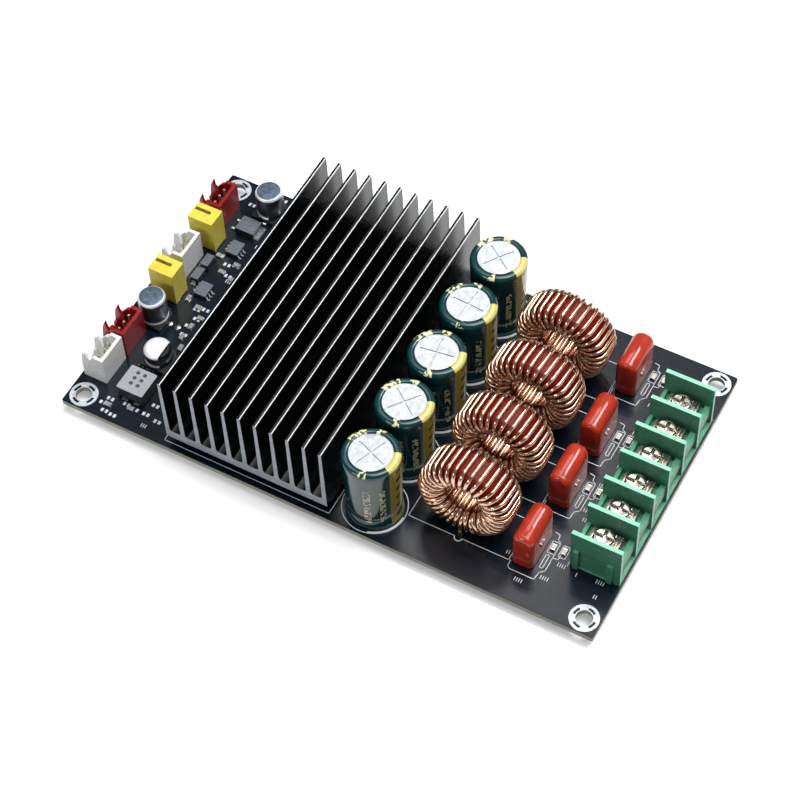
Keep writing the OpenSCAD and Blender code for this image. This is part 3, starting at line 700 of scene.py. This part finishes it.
def sleeve_film(number):
    material, tree, shader, where = start_material(
        f"shrunk_sleeve_{number}", "#0a3a3c", 0.14, IOR=1.5, Coat_Weight=0.25, Coat_Roughness=0.04
    )
    axis = middle(f"bulk_cap_can_{number}")
    local = add(tree, "Mapping", {"Vector": where}, Location=(-axis.x, -axis.y, -axis.z))
    part = add(tree, "SeparateXYZ", {"Vector": local.outputs["Vector"]}).outputs
    height = part["Z"]
    angle = add(tree, "Math", {0: part["Y"], 1: part["X"]}, operation="ARCTAN2").outputs["Value"]
    rim_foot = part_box(f"bulk_cap_sleeve_{number}")[1].z - axis.z - RIM_TALL * MM
    rim = add(tree, "Math", {0: height, 1: rim_foot}, operation="GREATER_THAN").outputs["Value"]
    stripe, minus_width = [
        add(tree, "Math", {0: angle, 1: STRIPE_MIDDLE, 2: half}, operation="COMPARE").outputs["Value"]
        for half in (STRIPE_HALF, STRIPE_HALF * MARK_SHARE)
    ]
    minus_height = level_lines(tree, height, MARK_PITCH, MARK_HALF)
    minus = add(tree, "Math", {0: minus_height, 1: minus_width}, operation="MULTIPLY").outputs["Value"]

    noise = add(tree, "TexNoise", {"Vector": where}, Scale=per_mm(PRINT_BREAK), Detail=1.0).outputs["Fac"]
    broken = add(tree, "Math", {0: noise, 1: PRINT_LEVEL}, operation="GREATER_THAN").outputs["Value"]
    band = {0: height, 1: (PRINT_LOW + PRINT_HIGH) / 2 * MM, 2: (PRINT_HIGH - PRINT_LOW) / 2 * MM}
    band = add(tree, "Math", band, operation="COMPARE").outputs["Value"]
    rows = level_lines(tree, height, ROW_PITCH, ROW_HALF)
    rows = add(tree, "Math", {0: rows, 1: band}, operation="MULTIPLY").outputs["Value"]
    marks = 0.0
    for windows, printed_where in ((SIDE_PRINT, rows), (RIM_PRINT, rim)):
        ink_there = add(tree, "Math", {0: printed_where, 1: broken}, operation="MULTIPLY").outputs["Value"]
        for turn, reach in windows:
            window = {0: angle, 1: math.radians(turn), 2: math.radians(reach)}
            window = add(tree, "Math", window, operation="COMPARE").outputs["Value"]
            printed = add(tree, "Math", {0: window, 1: ink_there}, operation="MULTIPLY").outputs["Value"]
            marks = add(tree, "Math", {0: marks, 1: printed}, operation="MAXIMUM").outputs["Value"]

    # The stripe is painted a darker gold on the side and a pale yellow on the rim: painted shade on the
    # side.
    gold = add(tree, "Mix", {"Factor": rim, "A": "#9a8736", "B": "#ded07a"}, data_type="RGBA")
    colour = "#0a393b"
    for cover, paint in ((stripe, gold.outputs["Result"]), (minus, "#0b3c3c"), (marks, "#e8e3ac")):
        layer = add(tree, "Mix", {"Factor": cover, "A": colour, "B": paint}, data_type="RGBA")
        colour = layer.outputs["Result"]
    tree.links.new(colour, shader.inputs["Base Color"])
    ripple = add(tree, "TexNoise", {"Vector": where}, Scale=per_mm(RIPPLE_SIZE), Detail=0.0).outputs["Fac"]
    relief = add(tree, "Bump", {"Height": ripple}, Distance=RIPPLE_DEPTH * MM, Strength=1.0)
    tree.links.new(relief.outputs["Normal"], shader.inputs["Normal"])
    return material


for number in range(1, 6):
    edged(f"bulk_cap_can_{number}", (can_top, score), 0.0, sharp=12, pick=in_score)
    edged(f"bulk_cap_sleeve_{number}", (sleeve_film(number),), 0.0, sharp=60, merge=0)
print("bulk capacitors done")

# %% [markdown]
# An output inductor is a ring of pressed iron powder, wound by hand with enamelled copper. The ring
# has a thin, deep red coating with a low sheen. The CAD ring is round already, so only its finish
# is new.

# %% Inductor cores
core_coat, tree, shader, where = start_material("powder_coated_core", "#720d03", 0.42)
grain(tree, shader, where, ("#620a02", "#821206"), 0.5, 0.01, (0.38, 0.5))
shader.inputs["Specular IOR Level"].default_value = 0.2
for number in range(1, 5):
    edged(f"inductor_core_{number}", (core_coat,), 0.0, sharp=60)
print("cores done")

# %% [markdown]
# The wire is copper with a clear enamel, so a clear coat lies over the metal. The CAD solid has a
# five-sided wire, and a flat side of it lies outermost. The round wire of this notebook is drawn in
# by a trim to stay within it.

# %% Enamelled copper wire
WIRE = 1.2
TURNS = 36
WIRE_GAP = 0.2
FLAT_TRIM = 0.04
NEST = WIRE * 0.7
BEND_STEPS, RUN_STEPS = 8, 2
core_low, core_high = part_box("inductor_core_1")
CORE_OUT = (core_high.x - core_low.x) / 2 / MM
CORE_HALF = (core_high.y - core_low.y) / 2 / MM
CORE_HOLE = 14.7
CORE_IN = CORE_HOLE / 2
CORE_ROUND = 0.47
BEND = (CORE_OUT - CORE_IN) * CORE_ROUND + WIRE_GAP + WIRE / 2
copper, tree, shader, where = start_material(
    "enamelled_copper", "#ddb296", 0.22, 1.0, Coat_Weight=1.0, Coat_Roughness=0.1
)
grain(tree, shader, where, ("#d3a587", "#e4bca0"), 2.5, 0.0, (0.18, 0.24), detail=1.0)
print("the wire bends round", round(BEND, 3), "mm")

# %% [markdown]
# One turn goes round the ring's own section. A handful of arcs gives it, and every second turn is
# nested, as a winder lays it.

# %% One turn


def one_turn(nested):
    """A turn's section as radius and depth, from the outer end of the front face into the hole.

    It is a rectangle with round corners. A nested turn reaches further into the hole, over its
    neighbours, because the turns crowd together there.
    """
    out = CORE_OUT + WIRE_GAP + WIRE / 2 - FLAT_TRIM
    hole = CORE_IN - WIRE_GAP - WIRE / 2 - (NEST if nested else 0)
    half = CORE_HALF + WIRE_GAP + WIRE / 2
    bends = (
        (hole + BEND, BEND - half, 270),
        (hole + BEND, half - BEND, 180),
        (out - BEND, half - BEND, 90),
        (out - BEND, BEND - half, 0),
    )
    section = []
    for (radius, depth, start), (next_radius, next_depth, _) in zip(bends, bends[1:] + bends[:1]):
        turned = [math.radians(start - 90 * step / BEND_STEPS) for step in range(BEND_STEPS + 1)]
        section += [(radius + BEND * math.cos(a), depth + BEND * math.sin(a)) for a in turned]
        begin, run = section[-1], (next_radius - radius, next_depth - depth)
        for step in range(1, RUN_STEPS):
            share = step / RUN_STEPS
            section.append((begin[0] + run[0] * share, begin[1] + run[1] * share))
    return section


print("points in a turn:", len(one_turn(nested=False)))

# %% [markdown]
# The turns follow each other round the ring as one wire. Each point moves on round the ring by its
# share of the turn's length, so the wire leans evenly, as it does when it is wound.

# %% The wire's path


def winding_path(centre):
    """The wire's centre line in metres, with its travel round the ring spread along its length."""
    points = []
    for turn in range(TURNS):
        section = one_turn(turn % 2)
        following = section[1:] + section[:1]
        steps = [math.dist(a, b) for a, b in zip(section, following)]
        count = len(section) // 2 if turn == TURNS - 1 else len(section)
        for k in range(count):
            around = math.radians(-90 + 360 * (turn + sum(steps[:k]) / sum(steps)) / TURNS)
            radius, depth = section[k]
            at = Vector((radius * math.cos(around), depth, radius * math.sin(around)))
            points.append(centre + at * MM)
    return points


print("points in a winding:", len(winding_path(Vector())))

# %% [markdown]
# The wire itself is a curve with a round bevel, swept along that path and its two leads and then
# turned into a mesh. A curve gives a smooth tube with far fewer points than modelling each turn.

# %% Windings


def winding(number):
    low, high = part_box(f"inductor_core_{number}")
    centre = (low + high) / 2
    lead_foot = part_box(f"inductor_winding_{number}")[0].z
    path = winding_path(centre)
    lead_out = [Vector((centre.x, path[0].y, z)) for z in (lead_foot, board_high.z)]
    lead_back = [Vector((path[-1].x, path[-1].y, z)) for z in (board_high.z, lead_foot)]
    path = lead_out + path + lead_back
    data = bpy.data.curves.new(f"winding_{number}", "CURVE")
    data.dimensions = "3D"
    data.bevel_depth = WIRE / 2 * MM
    data.bevel_resolution = 3
    data.use_fill_caps = True
    spline = data.splines.new("POLY")
    spline.points.add(len(path) - 1)
    for point, at in zip(spline.points, path):
        point.co = (*at, 1)
    curve = put(f"winding_{number}", data)
    mesh = bpy.data.meshes.new_from_object(curve.evaluated_get(bpy.context.evaluated_depsgraph_get()))
    bpy.data.objects.remove(curve)
    piece = put(f"smooth_winding_{number}", mesh)
    mesh.materials.clear()
    mesh.materials.append(copper)
    shade_smooth(mesh)
    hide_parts(f"inductor_winding_{number}")
    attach(piece, "board")
    print(piece.name, len(mesh.polygons), "faces")


for number in range(1, 5):
    winding(number)

# %% [markdown]
# The white outlines are silkscreen ink, about 0.02 mm thick and 0.2 mm wide. Straight lines are thin
# bars and round ones are a small section spun about the part's centre.

# %% Bars and rings
INK = 0.02
LINE = 0.2
RING_STEPS = 48


def bar(bm, a, b, width, z=0.0, thick=INK):
    a, b = place(*a, z), place(*b, z)
    run = b - a
    turn = Matrix.Rotation(math.atan2(run.y, run.x), 4, "Z")
    size = Matrix.Diagonal((run.length + width * MM, width * MM, thick * MM, 1))
    middle_point = (a + b) / 2 + Vector((0, 0, thick * MM / 2))
    bmesh.ops.create_cube(bm, size=1, matrix=Matrix.Translation(middle_point) @ turn @ size)


def ring(bm, centre, radius, width, start=0, sweep=360, z=0.0, thick=INK):
    c = place(*centre, z)
    turn = Matrix.Rotation(math.radians(start), 4, "Z")
    size = Matrix.Diagonal((width * MM, thick * MM, 1, 1))
    stand = Matrix.Rotation(math.radians(90), 4, "X")
    shift = Matrix.Translation((radius * MM, 0, thick * MM / 2))
    section = Matrix.Translation(c) @ turn @ shift @ stand @ size
    made = bmesh.ops.create_grid(bm, x_segments=1, y_segments=1, size=0.5, matrix=section)
    faces = list({face for vert in made["verts"] for face in vert.link_faces})
    full = sweep >= 360
    bmesh.ops.spin(
        bm,
        geom=faces + list({e for f in faces for e in f.edges}) + made["verts"],
        cent=c,
        axis=(0, 0, 1),
        angle=math.radians(sweep),
        steps=max(3, int(RING_STEPS * sweep / 360)),
        use_merge=full,
        use_duplicate=False,
    )
    if full:
        bmesh.ops.delete(bm, geom=[f for f in faces if f.is_valid], context="FACES_ONLY")


def outline(bm, corners, width=LINE, closed=True):
    ends = corners[1:] + corners[:1] if closed else corners[1:]
    for a, b in zip(corners, ends):
        bar(bm, a, b, width)


def rectangle(left, front, right, back):
    return [(left, front), (right, front), (right, back), (left, back)]


def set_about(centre, points):
    return [(centre.x + x, centre.y + y) for x, y in points]


print("ink is", INK, "mm thick, and a ring has", RING_STEPS, "steps")

# %% [markdown]
# An outline shows where each large part is set down: a frame for the heatsink, a ring with a broader
# arc inside it for each bulk capacitor, a frame with a notch for each coil's leads, and a bracket for
# each film capacitor with the two small resistors beside it. Points are given from the part's own
# middle, and the heatsink's from the board's corner. Thin solids keep such lines crisp at any
# distance, which a painted pattern wouldn't.

# %% Outlines of the large parts
HEATSINK_FRAME = (32.4, 1.9, 83.8, 89.7)
CAP_RING, CAP_ARC = (8.9, 0.25), (8.6, 0.5)
ARC_START, ARC_SWEEP = -75, 75
COIL_LEFT, COIL_RIGHT, COIL_FRONT, COIL_BACK = 14.9, 14.8, 6.6, 6.7
NOTCH, NOTCH_LINE = 1.1, 0.3
FILM_BRACKET = (
    (-3.3, -6.3), (-3.3, -8.0), (-2.6, -8.7), (4.6, -8.7), (4.9, -6.2), (6.1, -5.2), (6.1, 4.3),
    (5.0, 4.8), (4.8, 6.5), (3.4, 6.7),
)
FILM_HOOK = ((6.1, -0.7), (7.6, -0.5), (7.7, 3.9))
FILM_SLOT = (4.2, -4.7, 5.1, -0.4)
SNUBBERS, SNUBBER_HALF, SNUBBER_FRONT, SNUBBER_BACK = (5.0, 8.1), 1.0, 0.3, 4.1
SNUBBER_LINE = 0.18
ink, tree, shader, where = start_material("white_screen_ink", "#dfe3e6", 0.6)
grain(tree, shader, where, ("#ccd1d5", "#e8ebed"), 0.4, 0.004)
bm = bmesh.new()
outline(bm, rectangle(*HEATSINK_FRAME))
for number in range(1, 6):
    c = spot(f"bulk_cap_can_{number}")
    ring(bm, (c.x, c.y), *CAP_RING)
    ring(bm, (c.x, c.y), *CAP_ARC, ARC_START, ARC_SWEEP)
for number in range(1, 5):
    c = spot(f"inductor_core_{number}")
    left, front, right, back = c.x - COIL_LEFT, c.y - COIL_FRONT, c.x + COIL_RIGHT, c.y + COIL_BACK
    frame_line = [(c.x - NOTCH, front), (left, front), (left, back), (right, back)]
    frame_line += [(right, front), (c.x + NOTCH, front)]
    outline(bm, frame_line, closed=False)
    ring(bm, (c.x, front), NOTCH, NOTCH_LINE, 180, 180)
for number in range(1, 5):
    c = spot(f"film_cap_{number}")
    outline(bm, set_about(c, FILM_BRACKET), closed=False)
    outline(bm, set_about(c, FILM_HOOK), closed=False)
    outline(bm, set_about(c, rectangle(*FILM_SLOT)))
    for snubber in SNUBBERS:
        left, right = c.x + snubber - SNUBBER_HALF, c.x + snubber + SNUBBER_HALF
        outline(bm, rectangle(left, c.y + SNUBBER_FRONT, right, c.y + SNUBBER_BACK), SNUBBER_LINE)
print("outlines:", len(bm.faces), "faces")

# %% [markdown]
# A few short strokes in a row stand where a real board prints a part's number. They go into the same
# piece as the outlines, with a line along the terminal strip.

# %% Ticks and the line at the terminal strip
TICK_TALL, TICK_STEP = 1.0, 0.65
STRIP_BESIDE, STRIP_BEHIND, STRIP_START, STRIP_END = 0.4, 0.5, 0.2, 0.1
TICK_ROWS = (
    (131.0, 12.6, 2), (136.4, 6.3, 4), (142.2, 9.8, 4), (150.1, 14.6, 1), (155.6, 15.2, 4), (156.9, 10.8, 2),
    (144.5, 15.2, 4), (144.3, 30.6, 3), (143.4, 42.2, 3), (145.2, 50.0, 4), (148.6, 65.2, 3),
    (144.2, 61.4, 4), (143.2, 33.4, 2), (144.0, 71.8, 4), (146.0, 77.2, 3), (143.6, 54.6, 3),
    (12.6, 20.0, 3), (24.2, 2.6, 3), (9.4, 44.0, 3), (20.2, 70.6, 3), (12.2, 45.2, 3), (19.0, 56.0, 3),
)
for x, y, count in TICK_ROWS:
    for k in range(count):
        bar(bm, (x + TICK_STEP * k, y), (x + TICK_STEP * k, y + TICK_TALL), LINE)
low, high = extent("terminal_housing")
left, back = low.x - STRIP_BESIDE, high.y + STRIP_BEHIND
strip_line = [(left, low.y + STRIP_START), (left, back), (high.x - STRIP_END, back)]
outline(bm, strip_line, closed=False)
new_piece(bm, "board_silkscreen", (ink,))

# %% [markdown]
# Bare tinned copper shows round the mounting holes, on both faces of the board. A mounting pad is a
# ring with four slots in it, which let it be soldered without the whole board drawing the heat away.

# %% Tinned pads
PAD = 0.035
HOLE_INSET = 4.5
OUTER_RING, INNER_RING, SPOKE = (3.66, 0.76), (2.41, 0.24), (2.9, 0.8)
SLOT_TURN, SLOT_SWEEP = 70, 46
bm = bmesh.new()
for x in (HOLE_INSET, board_length - HOLE_INSET):
    for y in (HOLE_INSET, board_width - HOLE_INSET):
        for z in (0.0, -board_thick - PAD):
            ring(bm, (x, y), *OUTER_RING, z=z, thick=PAD)
            ring(bm, (x, y), *INNER_RING, z=z, thick=PAD)
            for quarter in range(4):
                start = SLOT_TURN + SLOT_SWEEP / 2 + 90 * quarter
                ring(bm, (x, y), *SPOKE, start, 90 - SLOT_SWEEP, z=z, thick=PAD)
new_piece(bm, "mounting_pads", (pad_tin,))

# %% [markdown]
# The control circuit at the left has many small footprints, some of them left empty. Each is a pair of
# tinned rectangles, and the diodes share one long row of them.

# %% Small footprints
FOOT_WIDE, FOOT_LONG, FOOT_GAP = 0.8, 1.1, 0.55
ROW_LEFT, ROW_RIGHT, ROW_FRONT, ROW_STEP, ROW_COUNT = 9.5, 10.4, 53.0, 1.3, 7
FOOTPRINTS = (
    (14.8, 49.2), (16.9, 43.9), (19.3, 44.8), (14.7, 66.7), (12.8, 63.9), (16.2, 61.6), (18.8, 62.3),
    (18.6, 58.1), (14.4, 76.3), (17.5, 75.6), (11.2, 84.1), (18.7, 40.9), (17.8, 37.8), (18.2, 34.6),
    (12.5, 2.5), (15.3, 2.2), (10.7, 4.6), (11.9, 6.6), (16.9, 7.0), (19.9, 6.6), (23.4, 6.6),
    (27.5, 5.9), (24.3, 10.2), (14.7, 20.3), (16.8, 20.3), (18.7, 89.7), (24.6, 14.8), (26.8, 14.6),
)
bm = bmesh.new()
reach = (FOOT_LONG - FOOT_WIDE) / 2
for x, y in FOOTPRINTS:
    for side in (-1, 1):
        across = x + side * (FOOT_WIDE + FOOT_GAP) / 2
        bar(bm, (across, y - reach), (across, y + reach), FOOT_WIDE, thick=PAD)
for row in range(ROW_COUNT):
    line = ROW_FRONT + ROW_STEP * row
    bar(bm, (ROW_LEFT, line), (ROW_RIGHT, line), FOOT_WIDE, thick=PAD)
new_piece(bm, "small_footprints", (pad_tin,))

# %% [markdown]
# Stamped ink gives the power inductor six round dots in place of a printed value, and each yellow
# capacitor a broken dark dash. The dots are thin discs, and the dashes thin bars.

# %% Ink marks
DOT_RADIUS, DOT_COLUMNS, DOT_ROWS = 0.6, (-1.1, 1.1), (-1.3, 0.6, 2.5)
DASHES, DASH_PLACE, DASH_WIDE = ((1.0, 2.5), (3.3, 5.0)), 0.62, 1.05
dark_ink, tree, shader, where = start_material("dark_stamping_ink", "#3a3b3d", 0.6)
grain(tree, shader, where, ("#303133", "#47484a"), 0.4, 0.002)
umber_ink, tree, shader, where = start_material("umber_printing_ink", "#564a10", 0.6)
grain(tree, shader, where, ("#4a3f0c", "#675a1a"), 0.5, 0.002)
bm = bmesh.new()
top = spot("power_inductor")
top.z = extent("power_inductor")[1].z
for column in DOT_COLUMNS:
    for row in DOT_ROWS:
        bmesh.ops.create_cone(
            bm,
            cap_ends=True,
            segments=20,
            radius1=DOT_RADIUS * MM,
            radius2=DOT_RADIUS * MM,
            depth=INK * MM,
            matrix=Matrix.Translation(place(top.x + column, top.y + row, top.z + INK / 2)),
        )
new_piece(bm, "inductor_dots", (dark_ink,))
bm = bmesh.new()
for box in (1, 2):
    low, high = extent(f"box_cap_{box}")
    line = low.y + (high.y - low.y) * DASH_PLACE
    for a, b in DASHES:
        bar(bm, (low.x + a, line), (low.x + b, line), DASH_WIDE, high.z)
new_piece(bm, "box_cap_dashes", (umber_ink,))

# %% [markdown]
# Three bright domes near the left edge are through-hole test points filled with solder. Each is the
# upper half of a flattened ball.

# %% Test points
TEST_POINTS = ((12.85, 36.3), (15.5, 36.1), (17.8, 80.0))
TEST_RADIUS, TEST_HEIGHT = 0.95, 0.4
flat = Matrix.Diagonal((1, 1, TEST_HEIGHT, 1))
bm = bmesh.new()
for x, y in TEST_POINTS:
    at = Matrix.Translation(place(x, y)) @ flat
    bmesh.ops.create_uvsphere(bm, u_segments=24, v_segments=12, radius=TEST_RADIUS * MM, matrix=at)
whole = bm.verts[:] + bm.edges[:] + bm.faces[:]
bmesh.ops.bisect_plane(bm, geom=whole, plane_co=place(0, 0), plane_no=(0, 0, -1), clear_outer=True)
test_points = new_piece(bm, "test_points", (solder,))
shade_smooth(test_points.data)

# %% [markdown]
# The floor is plain pale paint that keeps the board's shadow. To the camera, and in what polished
# and clear pieces show of it, it is near white with a slight glow. To light that bounces off it, it
# is mid grey, so that it doesn't wash out the undersides of the parts.

# %% Floor
FLOOR_GLOW = 0.25
FLOOR_SIZE, FLOOR_DROP = 3.0, 0.0005
floor_paint, tree, shader, where = start_material("floor_paint", "#f4f4f4", 0.9)
shader.inputs["Specular IOR Level"].default_value = 0.2
path = add(tree, "LightPath").outputs
seen = path["Is Camera Ray"]
for ray in ("Is Glossy Ray", "Is Transmission Ray"):
    seen = add(tree, "Math", {0: seen, 1: path[ray]}, operation="MAXIMUM").outputs["Value"]
paint = add(tree, "Mix", {"Factor": seen, "A": "#8c8c8c", "B": "#f4f4f4"}, data_type="RGBA")
tree.links.new(paint.outputs["Result"], shader.inputs["Base Color"])
shader.inputs["Emission Color"].default_value = (1, 1, 1, 1)
glow = add(tree, "Math", {0: seen, 1: FLOOR_GLOW}, operation="MULTIPLY")
tree.links.new(glow.outputs["Value"], shader.inputs["Emission Strength"])
bm = bmesh.new()
bmesh.ops.create_grid(bm, x_segments=1, y_segments=1, size=FLOOR_SIZE)
floor_mesh = bpy.data.meshes.new("floor")
bm.to_mesh(floor_mesh)
bm.free()
floor_mesh.transform(Matrix.Translation((0, 0, cad_box[0].z - FLOOR_DROP)))
floor_mesh.materials.append(floor_paint)
floor = put("floor", floor_mesh)
print("floor at", round(cad_box[0].z - FLOOR_DROP, 5))

# %% [markdown]
# A broad source overhead fills everything, and the world adds a faint cool light. Two soft boxes
# stand behind the board. The solder mask in front of the coils mirrors the left one, and both draw
# the long highlights on the film capacitors. A narrow strip runs from side to side overhead and a box
# stands at the front left: they give the copper, the screws and the rounded edges their crisp lines.

# %% Lights
WORLD_TINT, WORLD_STRENGTH = (0.92, 0.96, 1, 1), 0.16
SUN_ENERGY, SUN_SPREAD, SUN_FROM = 1.75, 40, (0.22, 0.12, 0.97)
SOFT_BOXES = (
    ("back_left", (-0.115, 0.28, 0.52), (-0.115, 0.28, 0), (0.15, 0.16), 3.6),
    ("back_right", (0.14, 0.3, 0.5), (0.14, 0.3, 0), (0.19, 0.17), 14),
    ("strip", (0, 0.06, 0.5), (0, 0.06, 0), (0.8, 0.05), 7),
    ("front", (-0.24, -0.62, 0.4), (0, 0, 0), (0.3, 0.11), 13),
)
world = bpy.data.worlds.new("studio")
world.use_nodes = True
bpy.context.scene.world = world
backdrop = world.node_tree.nodes["Background"]
backdrop.inputs["Color"].default_value = WORLD_TINT
backdrop.inputs["Strength"].default_value = WORLD_STRENGTH


def soft_box(name, at, towards, size, radiance):
    """A rectangular lamp. Its power follows from how bright its face should look."""
    data = bpy.data.lights.new(name, "AREA")
    data.shape = "RECTANGLE"
    data.size, data.size_y = size
    data.energy = radiance * math.pi * size[0] * size[1]
    lamp = put(name, data)
    lamp.location = at
    lamp.rotation_euler = (Vector(towards) - Vector(at)).to_track_quat("-Z", "Y").to_euler()


sun = bpy.data.lights.new("overhead", "SUN")
sun.energy = SUN_ENERGY
sun.angle = math.radians(SUN_SPREAD)
overhead = put("overhead", sun)
overhead.rotation_euler = Vector(SUN_FROM).to_track_quat("Z", "Y").to_euler()
for values in SOFT_BOXES:
    soft_box(*values)
print("lights:", 1 + len(SOFT_BOXES))
